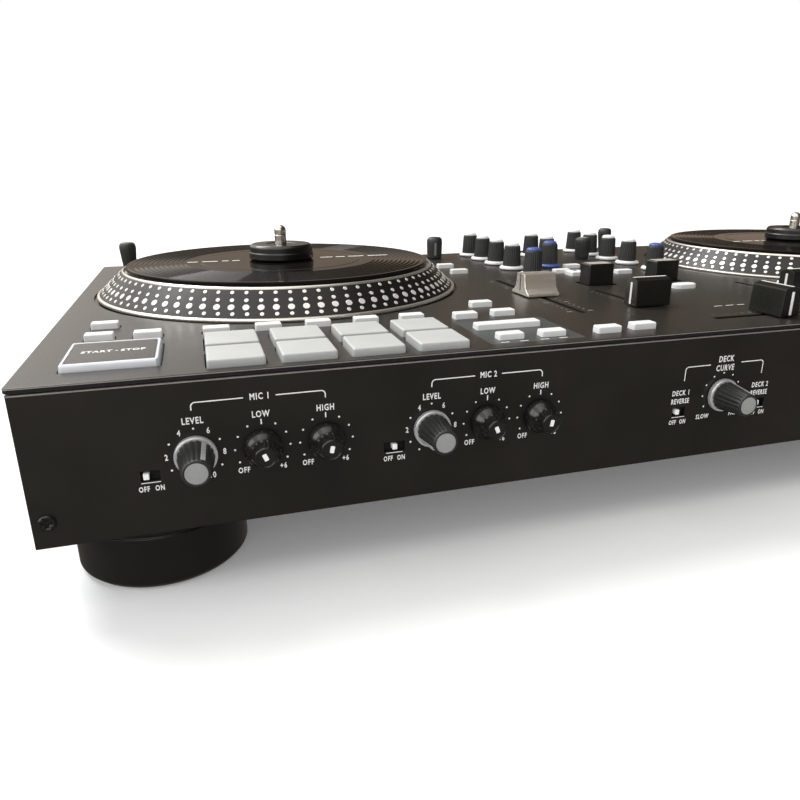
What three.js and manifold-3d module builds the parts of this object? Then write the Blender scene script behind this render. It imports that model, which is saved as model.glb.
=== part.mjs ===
// A DJ controller: two motorised decks with a two-channel mixer between them.
// Millimetres, +Z up, +X to the player's right; the player stands on the -Y side.
// Places on the deck face are given as [across, back]: from its left edge and from its front edge.
import * as THREE from 'three';
import { mergeVertices } from 'three/addons/utils/BufferGeometryUtils.js';
import Module from 'manifold-3d';

const wasm = await Module();
wasm.setup();

// ---- driving dimensions ----
const WIDTH = 673;
const DEPTH = 308;
const FOOT_HEIGHT = 29;
const TRAY_HEIGHT = 60;
const PLATE_GAP = 0.6;
const PLATE = 2;
const WALL = 2;
const INSET = 0.5;
const GAP = 0.3;
const KNOB_REACH = 18;
const JACK_REACH = 9;
const DECK_PITCH = 399;
const DECKS = [['left', 0], ['right', DECK_PITCH]];

const TRAY_TOP = FOOT_HEIGHT + TRAY_HEIGHT;
const TOP = TRAY_TOP + PLATE_GAP + PLATE;
const FRONT = KNOB_REACH - INSET - (DEPTH - 2 * INSET + KNOB_REACH + JACK_REACH) / 2;
const FRONT_WALL = FRONT + INSET;
const REAR_WALL = FRONT + DEPTH - INSET;

// platter
const PLATTER_AT = [117.6, 182];
const PLATTER_RADIUS = 107.5;
const POCKET_RADIUS = 109;
const POCKET_DEPTH = 1.2;
const HUB_HOLE = 15;
const DISC_RADIUS = 90.3;
const SPINDLE_RADIUS = 3.5;

// keys, pads and buttons: [across, back, width, depth]
const START_BUTTON = [32.75, 32.4, 35.5, 35.5];
const PAD_SIZE = [22.3, 22.6];
const PAD_FIRST = [78.1, 16.2];
const PAD_PITCH = [27.9, 25.3];
const KEY_SIZE = [12.4, 6.4];
const MODE_KEYS = [
  [23.6, 66.2], [43.6, 65.4], [72.8, 64.8], [96, 64.8], [119.2, 64.8], [142.4, 64.8], [165.5, 64.8],
];
const SYNC_KEY = [23.6, 89.6];
const LOOP_KEYS = [[210.9, 85.5], [192, 60.4], [212.9, 61.6], [194.9, 14.6], [215.2, 14.2]];
const WIDE_KEY = [203, 35, 32.5, 7];
const KEY_CLEARANCE = 0.4;

// faders: a slot's middle, its travel, and where the cap stands in it
const SLOT_WIDTH = 3.6;
const SLOT_EXTRA = 9;
const STEM = [2.4, 7];
const STEM_DROP = 8.6;
const PITCH_FADER = { at: [255, 107], travel: 100 };
const LINE_FADERS = [
  { name: 'line_fader_cap_1', at: [297.5, 82.5], travel: 45 },
  { name: 'line_fader_cap_2', at: [401, 82.5], travel: 45 },
];
const CROSSFADER = { at: [336.5, 21.5], travel: 45, rest: 8.5 };
const PADDLES = [['effect_paddle_1', [311, 132]], ['effect_paddle_2', [360.5, 132.5]]];

// knobs on the deck face, by column and row
const KNOB_HEIGHT = 19.2;
const CHANNEL_ROWS = [['trim', 286], ['high', 260], ['mid', 233], ['low', 205], ['filter', 172]];
const CHANNEL_COLUMNS = [['channel_1', 286], ['channel_2', 383.5]];
const CENTRE_KNOBS = [['master_knob', [333, 268]], ['booth_knob', [333.5, 242]],
  ['effect_knob', [317.5, 207.5]]];

// knobs on the front panel: distance from the left edge
const FRONT_KNOB_DROP = 29.4;
const LEVEL_KNOBS = [['mic_1_level_knob', 60], ['mic_2_level_knob', 154.2], ['contour_knob', 300.8]];
const TONE_KNOBS = [
  ['mic_1_low_knob', 85], ['mic_1_high_knob', 110], ['mic_2_low_knob', 179.2], ['mic_2_high_knob', 204.2],
];
const SWITCH_SLOTS = [[43, 7], [138, 9], [277.7, 7], [323.9, 7]];
const SWITCH_DROP = 38;
const SWITCH_HEIGHT = 4.2;

const MATERIALS = {
  chassis: { color: 0x26241f, roughness: 0.5, metalness: 0.7 },
  foot: { color: 0x2c2b25, roughness: 0.7, metalness: 0 },
  board: { color: 0x14402a, roughness: 0.6, metalness: 0 },
  bare_metal: { color: 0x9a9a98, roughness: 0.35, metalness: 1 },
  ring_metal: { color: 0xb9b4aa, roughness: 0.3, metalness: 1 },
  disc: { color: 0x0c0c0d, roughness: 0.25, metalness: 0 },
  black_plastic: { color: 0x151514, roughness: 0.45, metalness: 0 },
  knob_rubber: { color: 0x2b2c2a, roughness: 0.65, metalness: 0 },
  silicone: { color: 0xd9dad5, roughness: 0.55, metalness: 0 },
  key_plastic: { color: 0xe6e6e1, roughness: 0.5, metalness: 0 },
};

const object = new THREE.Group();

// ---- solids ----
function solid(geometry) {
  const bare = geometry.index ? geometry.clone() : mergeVertices(geometry.clone());
  for (const name of ['normal', 'uv']) bare.deleteAttribute(name);
  const merged = mergeVertices(bare, 1e-4);
  const index = merged.index.array;
  const kept = [];
  for (let i = 0; i < index.length; i += 3) {
    const [a, b, c] = [index[i], index[i + 1], index[i + 2]];
    if (a !== b && b !== c && c !== a) kept.push(a, b, c);
  }
  const vertProperties = new Float32Array(merged.attributes.position.array);
  return new wasm.Manifold(new wasm.Mesh({ numProp: 3, vertProperties, triVerts: new Uint32Array(kept) }));
}

function add(name, body, material) {
  const mesh = body.getMesh();
  const geometry = new THREE.BufferGeometry();
  geometry.setAttribute('position', new THREE.BufferAttribute(new Float32Array(mesh.vertProperties), 3));
  geometry.setIndex(new THREE.BufferAttribute(new Uint32Array(mesh.triVerts), 1));
  geometry.computeVertexNormals();
  const node = new THREE.Mesh(geometry, new THREE.MeshStandardMaterial(MATERIALS[material]));
  node.name = name;
  object.add(node);
}

const joined = (pieces) => pieces.reduce((whole, piece) => whole.add(piece));
const cut = (whole, pieces) => pieces.reduce((rest, piece) => rest.subtract(piece), whole);

// a box standing on z = base, centred on x and y
function box(width, depth, height, x, y, base) {
  return solid(new THREE.BoxGeometry(width, depth, height).translate(x, y, base + height / 2));
}

// a box that narrows towards its top
function taperedBox(width, depth, height, topWidth, topDepth, x, y, base) {
  const geometry = new THREE.BoxGeometry(width, depth, height);
  const position = geometry.attributes.position;
  for (let i = 0; i < position.count; i += 1) {
    if (position.getZ(i) > 0) {
      position.setX(i, (position.getX(i) * topWidth) / width);
      position.setY(i, (position.getY(i) * topDepth) / depth);
    }
  }
  return solid(geometry.translate(x, y, base + height / 2));
}

// an upright cylinder standing on z = base
function post(radius, height, x, y, base, sides = 16) {
  const geometry = new THREE.CylinderGeometry(radius, radius, height, sides).rotateX(Math.PI / 2);
  return solid(geometry.translate(x, y, base + height / 2));
}

// a cylinder along Y, from y = start towards +Y
function rod(radius, length, x, start, z, sides = 16) {
  return solid(new THREE.CylinderGeometry(radius, radius, length, sides).translate(x, start + length / 2, z));
}

// a turned piece about the upright axis through x, y; profile points are [radius, height over base]
function turned(profile, x, y, base, sides) {
  const points = profile.map(([radius, height]) => new THREE.Vector2(radius, height));
  return solid(new THREE.LatheGeometry(points, sides).rotateX(Math.PI / 2).translate(x, y, base));
}

// a turned piece whose axis points out of the front panel
function turnedForward(profile, x, y, z, sides) {
  const points = profile.map(([radius, height]) => new THREE.Vector2(radius, height));
  return solid(new THREE.LatheGeometry(points, sides).rotateX(Math.PI).translate(x, y, z));
}

const ring = (profile) => [...profile, profile[0]];
const acrossAt = (across) => across - WIDTH / 2;
const backAt = (back) => FRONT + back;
const place = ([across, back], shift = 0) => [acrossAt(across + shift), backAt(back)];

function keyHole([across, back], [width, depth], shift) {
  const [x, y] = place([across, back], shift);
  const grown = 2 * KEY_CLEARANCE;
  return box(width + grown, depth + grown, 3 * PLATE, x, y, TOP - 2 * PLATE);
}

function padPlaces() {
  const places = [];
  for (let row = 0; row < 2; row += 1) {
    for (let column = 0; column < 4; column += 1) {
      places.push([PAD_FIRST[0] + column * PAD_PITCH[0], PAD_FIRST[1] + row * PAD_PITCH[1]]);
    }
  }
  return places;
}

function knobPlaces() {
  const places = [];
  for (const [channel, across] of CHANNEL_COLUMNS) {
    for (const [use, back] of CHANNEL_ROWS) places.push([`${channel}_${use}_knob`, [across, back]]);
  }
  return [...places, ...CENTRE_KNOBS];
}

// ---- rear sockets: a body through the rear wall and a flange outside it ----
const SOCKETS = {
  power_inlet: { across: 70, width: 28, height: 20, drop: 36 },
  usb_block: { across: 150, width: 46, height: 13, drop: 36 },
  line_jack_block: { across: 425, width: 150, height: 34, drop: 34 },
  mic_jack_block: { across: 560, width: 64, height: 22, drop: 34 },
};
const SOCKET_DEPTH = 16;
const FLANGE = 3;
const FLANGE_THICKNESS = 1.5;

function socketBody({ across, width, height, drop }) {
  const x = acrossAt(across);
  const middle = TRAY_TOP - drop;
  const body = box(width, SOCKET_DEPTH + WALL, height, x, REAR_WALL + GAP - (SOCKET_DEPTH + WALL) / 2,
    middle - height / 2);
  const flange = box(width + 2 * FLANGE, FLANGE_THICKNESS, height + 2 * FLANGE, x,
    REAR_WALL + GAP + FLANGE_THICKNESS / 2, middle - height / 2 - FLANGE);
  return body.add(flange);
}

const flangeFace = REAR_WALL + GAP + FLANGE_THICKNESS;

function powerInlet() {
  const { across, drop } = SOCKETS.power_inlet;
  const recess = box(24, 12, 16, acrossAt(across), flangeFace - 5, TRAY_TOP - drop - 8);
  return socketBody(SOCKETS.power_inlet).subtract(recess);
}

function usbBlock() {
  const { across, drop } = SOCKETS.usb_block;
  const recesses = [-12, 12].map((side) => (
    box(8.6, 11, 8, acrossAt(across) + side, flangeFace - 4.5, TRAY_TOP - drop - 4)));
  return cut(socketBody(SOCKETS.usb_block), recesses);
}

function lineJackBlock() {
  const { across, drop } = SOCKETS.line_jack_block;
  const barrels = [];
  const bores = [];
  for (let column = 0; column < 6; column += 1) {
    for (const row of [-8, 8]) {
      const x = acrossAt(across) + (column - 2.5) * 23;
      const z = TRAY_TOP - drop + row;
      barrels.push(rod(4.2, JACK_REACH - GAP, x, REAR_WALL + GAP, z, 8));
      bores.push(rod(1.7, JACK_REACH + 2, x, REAR_WALL + 0.5, z, 6));
    }
  }
  return cut(joined([socketBody(SOCKETS.line_jack_block), ...barrels]), bores);
}

function micJackBlock() {
  const { across, drop } = SOCKETS.mic_jack_block;
  const bores = [-16, 16].map((side) => (
    rod(3.3, 14, acrossAt(across) + side, flangeFace - 13, TRAY_TOP - drop, 12)));
  return cut(socketBody(SOCKETS.mic_jack_block), bores);
}

// ---- casing ----
function tray() {
  const width = WIDTH - 2 * INSET;
  const depth = DEPTH - 2 * INSET;
  const middle = (FRONT_WALL + REAR_WALL) / 2;
  const shell = box(width, depth, TRAY_HEIGHT, 0, middle, FOOT_HEIGHT)
    .subtract(box(width - 2 * WALL, depth - 2 * WALL, TRAY_HEIGHT, 0, middle, FOOT_HEIGHT + WALL));
  const posts = [];
  for (const across of [9, WIDTH / 2, WIDTH - 9]) {
    for (const back of [9, DEPTH - 9]) {
      const [x, y] = place([across, back]);
      posts.push(post(5, TRAY_HEIGHT + GAP - 1, x, y, FOOT_HEIGHT + 1, 8));
    }
  }
  const holes = [...LEVEL_KNOBS, ...TONE_KNOBS].map(([, across]) => (
    rod(3.8, 4 * WALL, acrossAt(across), FRONT_WALL - WALL, TRAY_TOP - FRONT_KNOB_DROP, 8)));
  const slots = SWITCH_SLOTS.map(([across, length]) => (
    box(length, 4 * WALL, SWITCH_HEIGHT, acrossAt(across), FRONT_WALL, TRAY_TOP - SWITCH_DROP)));
  const windows = Object.values(SOCKETS).map((socket) => (
    box(socket.width + 2 * GAP, 4 * WALL, socket.height + 2 * GAP, acrossAt(socket.across), REAR_WALL,
      TRAY_TOP - socket.drop - socket.height / 2 - GAP)));
  return cut(joined([shell, ...posts]), [...holes, ...slots, ...windows]);
}

function slot(across, back, alongX, travel) {
  const length = travel + SLOT_EXTRA;
  const [x, y] = place([across, back]);
  const size = alongX ? [length, SLOT_WIDTH] : [SLOT_WIDTH, length];
  return box(...size, 3 * PLATE, x, y, TOP - 2 * PLATE);
}

function topPlate() {
  const cutters = [];
  for (const [, shift] of DECKS) {
    const [x, y] = place(PLATTER_AT, shift);
    cutters.push(post(POCKET_RADIUS, POCKET_DEPTH + PLATE, x, y, TOP - POCKET_DEPTH, 36));
    cutters.push(post(HUB_HOLE, 3 * PLATE, x, y, TOP - 2 * PLATE, 16));
    const [across, back, width, depth] = START_BUTTON;
    cutters.push(keyHole([across, back], [width, depth], shift));
    for (const at of padPlaces()) cutters.push(keyHole(at, PAD_SIZE, shift));
    for (const at of [...MODE_KEYS, SYNC_KEY, ...LOOP_KEYS]) cutters.push(keyHole(at, KEY_SIZE, shift));
    cutters.push(keyHole(WIDE_KEY, WIDE_KEY.slice(2), shift));
    cutters.push(slot(PITCH_FADER.at[0] + shift, PITCH_FADER.at[1], false, PITCH_FADER.travel));
  }
  for (const fader of LINE_FADERS) cutters.push(slot(...fader.at, false, fader.travel));
  cutters.push(slot(...CROSSFADER.at, true, CROSSFADER.travel));
  for (const [, at] of PADDLES) cutters.push(box(21, 18, 3 * PLATE, ...place(at), TOP - 2 * PLATE));
  for (const [, at] of knobPlaces()) cutters.push(post(4, 3 * PLATE, ...place(at), TOP - 2 * PLATE, 8));
  return cut(box(WIDTH, DEPTH, PLATE, 0, FRONT + DEPTH / 2, TOP - PLATE), cutters);
}

add('bottom_tray', tray(), 'chassis');
add('top_plate', topPlate(), 'chassis');

const FOOT_RADIUS = 35.8;
const FOOT_AT = [42, 42];
const FOOT_PROFILE = [[0, 0], [FOOT_RADIUS - 4, 0], [FOOT_RADIUS - 1, 1.6], [FOOT_RADIUS, 5],
  [FOOT_RADIUS, FOOT_HEIGHT - GAP], [0, FOOT_HEIGHT - GAP]];
for (const [row, back] of [['front', FOOT_AT[1]], ['rear', DEPTH - FOOT_AT[1]]]) {
  for (const [side, across] of [['left', FOOT_AT[0]], ['right', WIDTH - FOOT_AT[0]]]) {
    add(`foot_${row}_${side}`, turned(FOOT_PROFILE, ...place([across, back]), 0, 20), 'foot');
  }
}

// ---- inside ----
const BOARD_DROP = 24;
add('main_board', box(WIDTH - 60, 58, 1.6, 0, backAt(48), TOP - BOARD_DROP), 'board');

function powerSupply() {
  const [x, y] = place([WIDTH / 2, 232]);
  const base = FOOT_HEIGHT + WALL + GAP;
  const lid = taperedBox(110, 62, 4, 104, 56, x, y, base + 26);
  return box(118, 70, 2, x, y, base).add(box(110, 62, 24.5, x, y, base + 1.5)).add(lid);
}
add('power_supply', powerSupply(), 'bare_metal');

for (const [side, shift] of DECKS) {
  const floor = FOOT_HEIGHT + WALL + GAP;
  const bore = SPINDLE_RADIUS + 0.6;
  const profile = ring([[bore, 4], [bore, 0], [56, 0], [56, 2], [46, 2], [46, 22], [12, 24], [11, 44],
    [bore, 44]]);
  add(`deck_motor_${side}`, turned(profile, ...place(PLATTER_AT, shift), floor, 16), 'bare_metal');
}

add('power_inlet', powerInlet(), 'black_plastic');
add('usb_block', usbBlock(), 'bare_metal');
add('line_jack_block', lineJackBlock(), 'black_plastic');
add('mic_jack_block', micJackBlock(), 'black_plastic');

// fader bodies hang under the plate, just below the caps' stems
const FADER_TOP = TOP - STEM_DROP - GAP;
const FADER_HEIGHT = 9;
function faderBody([across, back], travel, alongX) {
  const size = alongX ? [travel + 24, 13] : [13, travel + 24];
  return box(...size, FADER_HEIGHT, ...place([across, back]), FADER_TOP - FADER_HEIGHT);
}
function mixerFaderFrame() {
  const bodies = [...LINE_FADERS.map((fader) => faderBody(fader.at, fader.travel, false)),
    faderBody(CROSSFADER.at, CROSSFADER.travel, true)];
  const sheet = box(134, 98, 1.5, ...place([348, 67]), FADER_TOP - FADER_HEIGHT - 1);
  return joined([sheet, ...bodies]);
}
add('mixer_fader_frame', mixerFaderFrame(), 'bare_metal');
for (const [side, shift] of DECKS) {
  const at = [PITCH_FADER.at[0] + shift, PITCH_FADER.at[1]];
  add(`pitch_fader_unit_${side}`, faderBody(at, PITCH_FADER.travel, false), 'bare_metal');
}

// ---- platters ----
const TABLE = 14;
const PLATTER_PROFILE = ring([
  [4, -6], [12, -6], [12, 7], [86, 7], [97, 2], [104, -0.7], [107.2, -0.7], [PLATTER_RADIUS, 0.8], [106, 1.6],
  [94.6, 12.3], [94.4, 13], [92.2, 14.8], [91.4, TABLE], [4, TABLE],
]);
const DISC_PROFILE = ring([[4, TABLE + GAP], [DISC_RADIUS, TABLE + GAP], [DISC_RADIUS, 16.5],
  [DISC_RADIUS - 0.8, 16.8], [4, 16.8]]);
const PUCK_PROFILE = ring([[4, 17.1], [18.5, 17.1], [19.5, 18.1], [19.2, 24.6], [17.8, 26.3], [6, 26.3],
  [4, 25.6]]);
const SPINDLE_PROFILE = [[0, -56], [SPINDLE_RADIUS, -56], [SPINDLE_RADIUS, 34.4], [2.7, 36.3], [1.2, 37.2],
  [0, 37.4]];
for (const [side, shift] of DECKS) {
  const at = place(PLATTER_AT, shift);
  add(`platter_${side}`, turned(PLATTER_PROFILE, ...at, TOP, 36), 'ring_metal');
  add(`disc_${side}`, turned(DISC_PROFILE, ...at, TOP, 36), 'disc');
  add(`puck_${side}`, turned(PUCK_PROFILE, ...at, TOP, 20), 'black_plastic');
  add(`spindle_${side}`, turned(SPINDLE_PROFILE, ...at, TOP, 10), 'bare_metal');
}

// ---- buttons, pads and keys ----
const PAD_RISE = 3.2;
const KEY_RISE = 2.8;
const START_RISE = 2.8;
const MAT_DROP = PLATE + 0.5;
const MAT = 1.5;

// caps stand on a sheet under the plate and come up through its holes
function mat(caps, [x0, x1, y0, y1], shift, rise) {
  const sheet = box(x1 - x0, y1 - y0, MAT, ...place([(x0 + x1) / 2, (y0 + y1) / 2], shift),
    TOP - MAT_DROP - MAT);
  const bodies = caps.map(([at, [width, depth]]) => (
    taperedBox(width, depth, rise + MAT_DROP + MAT / 2, width - 0.8, depth - 0.8, ...place(at, shift),
      TOP - MAT_DROP - MAT / 2)));
  return joined([sheet, ...bodies]);
}

for (const [side, shift] of DECKS) {
  const [across, back, width, depth] = START_BUTTON;
  const start = taperedBox(width, depth, START_RISE + 4, width - 1.6, depth - 1.6,
    ...place([across, back], shift), TOP - 4);
  add(`start_stop_button_${side}`, start, 'bare_metal');
  const pads = padPlaces().map((at) => [at, PAD_SIZE]);
  add(`pad_mat_${side}`, mat(pads, [64, 174, 4, 55], shift, PAD_RISE), 'silicone');
  const modes = mat(MODE_KEYS.map((at) => [at, KEY_SIZE]), [14, 173, 58.5, 71], shift, KEY_RISE);
  const sync = mat([[SYNC_KEY, KEY_SIZE]], [14, 32, 70, 94], shift, KEY_RISE);
  add(`mode_keys_${side}`, modes.add(sync), 'key_plastic');
  const loops = [...LOOP_KEYS.map((at) => [at, KEY_SIZE]), [WIDE_KEY, WIDE_KEY.slice(2)]];
  add(`loop_keys_${side}`, mat(loops, [182, 224, 10, 90], shift, KEY_RISE), 'key_plastic');
}

// ---- fader caps and paddles ----
function capOutline(points, width, [x, y], base, alongX) {
  const shape = new THREE.Shape(points.map(([reach, height]) => new THREE.Vector2(reach, height)));
  const geometry = new THREE.ExtrudeGeometry(shape, { depth: width, bevelEnabled: false });
  geometry.translate(0, 0, -width / 2).rotateX(Math.PI / 2).rotateZ(Math.PI / 2);
  if (alongX) geometry.rotateZ(Math.PI / 2);
  return solid(geometry.translate(x, y, base));
}
const CAP_LIFT = 0.6;
const stem = ([x, y], alongX) => (
  box(...(alongX ? [...STEM].reverse() : STEM), STEM_DROP + 3, x, y, TOP - STEM_DROP));
const METAL_CAP = [[-10.5, 0], [10.5, 0], [10.5, 1.6], [7.4, 3.4], [5.4, 6.6], [4.8, 12.4], [-4.8, 12.4],
  [-5.4, 6.6], [-7.4, 3.4], [-10.5, 1.6]];
const BLACK_CAP = [[-5.6, 0], [5.6, 0], [4.9, 13.8], [0, 15], [-4.9, 13.8]];

for (const [side, shift] of DECKS) {
  const at = place(PITCH_FADER.at, shift);
  const cap = capOutline(METAL_CAP, 20.6, at, TOP + CAP_LIFT, false).add(stem(at, false));
  add(`pitch_fader_cap_${side}`, cap, 'bare_metal');
}
for (const { name, at: [across, back], travel } of LINE_FADERS) {
  const at = place([across, back - travel / 2]);
  add(name, capOutline(BLACK_CAP, 21.6, at, TOP + CAP_LIFT, false).add(stem(at, false)), 'black_plastic');
}
const crossfaderAt = place([CROSSFADER.at[0] + CROSSFADER.rest, CROSSFADER.at[1]]);
const crossfaderCap = capOutline(BLACK_CAP, 21.6, crossfaderAt, TOP + CAP_LIFT, true);
add('crossfader_cap', crossfaderCap.add(stem(crossfaderAt, true)), 'black_plastic');

const PADDLE_DROP = 9;
for (const [name, at] of PADDLES) {
  const [x, y] = place(at);
  const blade = taperedBox(18.8, 12, 13 + PADDLE_DROP, 18, 10.8, x, y, TOP - PADDLE_DROP);
  const pivot = solid(new THREE.CylinderGeometry(2.2, 2.2, 26, 8).rotateZ(Math.PI / 2)
    .translate(x, y, TOP - 6.5));
  add(name, blade.add(pivot), 'knob_rubber');
}

// ---- knobs ----
const DECK_KNOB = [[0, -8], [3, -8], [3, 0.6], [8.8, 0.6], [8.8, 2.2], [6.6, 2.8], [5.2, KNOB_HEIGHT],
  [0, KNOB_HEIGHT]];
for (const [name, at] of knobPlaces()) {
  add(name, turned(DECK_KNOB, ...place(at), TOP, 10), 'knob_rubber');
}

const LEVEL_KNOB = [[0, -8], [3, -8], [3, 0.5], [8, 0.5], [8, 2], [6.9, 2.6], [5.2, KNOB_REACH - 0.6],
  [4.7, KNOB_REACH], [0, KNOB_REACH]];
const TONE_KNOB = [[0, -8], [3, -8], [3, 0.5], [7.7, 0.5], [7.5, 3.6], [5, 6], [4, 11.4], [0, 11.9]];
for (const [knobs, profile] of [[LEVEL_KNOBS, LEVEL_KNOB], [TONE_KNOBS, TONE_KNOB]]) {
  for (const [name, across] of knobs) {
    const z = TRAY_TOP - FRONT_KNOB_DROP;
    add(name, turnedForward(profile, acrossAt(across), FRONT_WALL, z, 12), 'knob_rubber');
  }
}

export default object;
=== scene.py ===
# The looks of a DJ controller: fine meshes, materials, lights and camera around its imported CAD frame.
# Lengths are millimetres until a mesh is made. Places on the deck face are (across, back), from its left
# and front edges; places on the front panel are (across, drop), from its left and top edges.
import math

import bmesh
import bpy
from mathutils import Matrix, Vector
from mathutils.geometry import tessellate_polygon


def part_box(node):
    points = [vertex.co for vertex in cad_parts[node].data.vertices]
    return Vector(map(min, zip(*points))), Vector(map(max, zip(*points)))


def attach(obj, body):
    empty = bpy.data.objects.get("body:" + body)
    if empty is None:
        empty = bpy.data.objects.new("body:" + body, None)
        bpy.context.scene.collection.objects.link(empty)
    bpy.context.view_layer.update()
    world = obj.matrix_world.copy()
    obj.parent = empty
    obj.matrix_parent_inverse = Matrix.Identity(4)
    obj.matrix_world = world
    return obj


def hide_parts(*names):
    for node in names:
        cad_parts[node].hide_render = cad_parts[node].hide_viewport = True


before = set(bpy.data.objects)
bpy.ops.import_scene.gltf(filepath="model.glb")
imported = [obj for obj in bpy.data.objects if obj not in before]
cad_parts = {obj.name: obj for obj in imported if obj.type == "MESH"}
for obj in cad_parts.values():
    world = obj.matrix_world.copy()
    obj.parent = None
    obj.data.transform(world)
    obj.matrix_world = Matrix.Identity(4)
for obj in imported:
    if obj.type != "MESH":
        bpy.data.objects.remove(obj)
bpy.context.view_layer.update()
scene = bpy.context.scene
link = scene.collection.objects.link
MM = 0.001


# ---- measures of the frame ----
def corners(node):
    low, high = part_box(node)
    return low / MM, high / MM


def middle(node):
    low, high = corners(node)
    return (low.x + high.x) / 2, (low.y + high.y) / 2


plate_low, plate_high = corners("top_plate")
tray_low, tray_high = corners("bottom_tray")
WIDTH, DEPTH, PLATE = plate_high - plate_low
LEFT, FRONT, TOP = plate_low.x, plate_low.y, plate_high.z
PLATE_GAP = 0.6
TRAY_TOP = plate_low.z - PLATE_GAP
PANEL, REAR = tray_low.y, tray_high.y
DECK_PITCH = middle("platter_right")[0] - middle("platter_left")[0]
DECKS = (("left", 0), ("right", DECK_PITCH))


def deck(across, back, shift=0.0):
    return LEFT + across + shift, FRONT + back


def rise_of(node):
    """How far a node's top is above the deck face."""
    return corners(node)[1].z - TOP


# ---- camera, solved from the chassis edges, the platter rims and the dials ----
EYE = Vector((-268.459, -396.902, 162.818))
TILT, YAW = 0.33096, 0.30298
camera_data = bpy.data.cameras.new("camera")
camera_data.lens = 30.32
camera_data.sensor_width = 36
camera_data.shift_x = -0.01456
camera_data.shift_y = -0.0027
camera_data.clip_start = 0.01
camera = bpy.data.objects.new("camera", camera_data)
link(camera)
camera.location = EYE * MM
camera.rotation_euler = (math.pi / 2 - TILT, 0, -YAW)
scene.camera = camera


# ---- materials ----
def add_node(tree, kind, inputs, **settings):
    """A shader node with its settings made, and its inputs linked or given a value."""
    node = tree.nodes.new("ShaderNode" + kind)
    for name, value in settings.items():
        setattr(node, name, value)
    for socket, value in inputs.items():
        if isinstance(value, bpy.types.NodeSocket):
            tree.links.new(value, node.inputs[socket])
        else:
            node.inputs[socket].default_value = value
    return node


def blotches(tree, vector, size, detail=4):
    inputs = {"Vector": vector, "Scale": 1 / (size * MM), "Detail": detail, "Roughness": 0.55}
    return add_node(tree, "TexNoise", inputs).outputs["Fac"]


def lathe_marks(tree, vector, pitch):
    """Random rings about the piece's own upright axis."""
    flat = add_node(tree, "VectorMath", {0: vector, 1: (1, 1, 0)}, operation="MULTIPLY")
    reach = add_node(tree, "VectorMath", {0: flat.outputs[0]}, operation="LENGTH")
    inputs = {"W": reach.outputs["Value"], "Scale": 1 / (pitch * MM), "Detail": 3}
    return add_node(tree, "TexNoise", inputs, noise_dimensions="1D").outputs["Fac"]


def drifting_colour(tree, factor, colour, shade):
    ramp = add_node(tree, "ValToRGB", {"Fac": factor})
    for stop, position, way in zip(ramp.color_ramp.elements, (0.3, 0.7), (-1, 1)):
        stop.position = position
        stop.color = (*(value * (1 + way * shade) for value in colour), 1)
    return ramp.outputs["Color"]


def surface(name, colour, roughness, metallic=0.0, shade=0.12, patch=25.0, grain=0.5, bump=0.01,
            spread=0.06, turned_pitch=None, stretch=(1, 1, 1), **sockets):
    """A moulded, painted or machined surface. Its colour drifts by shade over patches, and its roughness
    and bump come from its grain, or from lathe marks where it is turned."""
    material = bpy.data.materials.new(name)
    material.use_nodes = True
    tree = material.node_tree
    shader = tree.nodes["Principled BSDF"]
    shader.inputs["Metallic"].default_value = metallic
    for socket, value in sockets.items():
        shader.inputs[socket.replace("_", " ")].default_value = value
    where = add_node(tree, "TexCoord", {})
    scaled = add_node(tree, "Mapping", {"Vector": where.outputs["Object"], "Scale": stretch})
    vector = scaled.outputs["Vector"]
    tint = drifting_colour(tree, blotches(tree, vector, patch), colour, shade)
    tree.links.new(tint, shader.inputs["Base Color"])
    fine = lathe_marks(tree, vector, turned_pitch) if turned_pitch else blotches(tree, vector, grain, 3)
    gloss = add_node(tree, "MapRange", {
        "Value": fine, "From Min": 0.3, "From Max": 0.7,
        "To Min": max(0.03, roughness - spread), "To Max": roughness + spread})
    tree.links.new(gloss.outputs["Result"], shader.inputs["Roughness"])
    height = add_node(tree, "Bump", {"Height": fine, "Distance": bump * MM})
    tree.links.new(height.outputs["Normal"], shader.inputs["Normal"])
    return material


PANEL_PAINT = surface("panel_paint", (0.019, 0.0168, 0.0132), 0.36, 0.3, 0.18, 40, 0.35, 0.008)
FACE_PAINT = surface("face_paint", (0.042, 0.037, 0.032), 0.34, 0.5, 0.1, 60, 0.3, 0.008)
AREA_PAINT = surface("area_paint", (0.07, 0.078, 0.075), 0.42, 0.3, 0.06, 30, 0.3, 0.006)
RUBBER = surface("foot_rubber", (0.0065, 0.006, 0.0045), 0.34, 0, 0.2, 12, 0.4, 0.008)
BOARD = surface("board_green", (0.015, 0.09, 0.045), 0.5, 0, 0.2, 15, 1.2, 0.02)
CAN = surface("steel_can", (0.55, 0.55, 0.55), 0.35, 1, 0.08, 15, 0.3, 0.01)
MOTOR = surface("motor_steel", (0.45, 0.45, 0.45), 0.3, 1, 0.08, 15, 0.3, 0.01)
SOCKET = surface("socket_plastic", (0.012, 0.012, 0.012), 0.42, 0, 0.2, 10, 0.3, 0.01)
CONTACT = surface("contact_metal", (0.62, 0.6, 0.56), 0.24, 1, 0.08, 8, 0.3, 0.005)
# Black plastic and prints; also painted shade on the plate's side, in screw recesses and in cap grooves.
DARK_AND_SHADE = surface("dark_and_painted_shade", (0.004, 0.004, 0.004), 0.8, 0, 0.3, 5, 0.4, 0.02)
RING = surface("platter_ring", (0.6, 0.575, 0.53), 0.28, 0.8, 0.05, 30, turned_pitch=0.25, bump=0.003)
BAND = surface("platter_band", (0.0095, 0.009, 0.008), 0.36, 0.1, 0.2, 25, turned_pitch=0.3, bump=0.003,
               Specular_IOR_Level=0.3)
DOT = surface("strobe_dot", (0.74, 0.725, 0.69), 0.25, 0.3, 0.05, 6, 0.5, 0.002)
VINYL = surface("disc_vinyl", (0.008, 0.007, 0.006), 0.06, 0, 0.2, 40, turned_pitch=0.6, bump=0.0003,
                spread=0.02, IOR=1.12)
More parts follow.
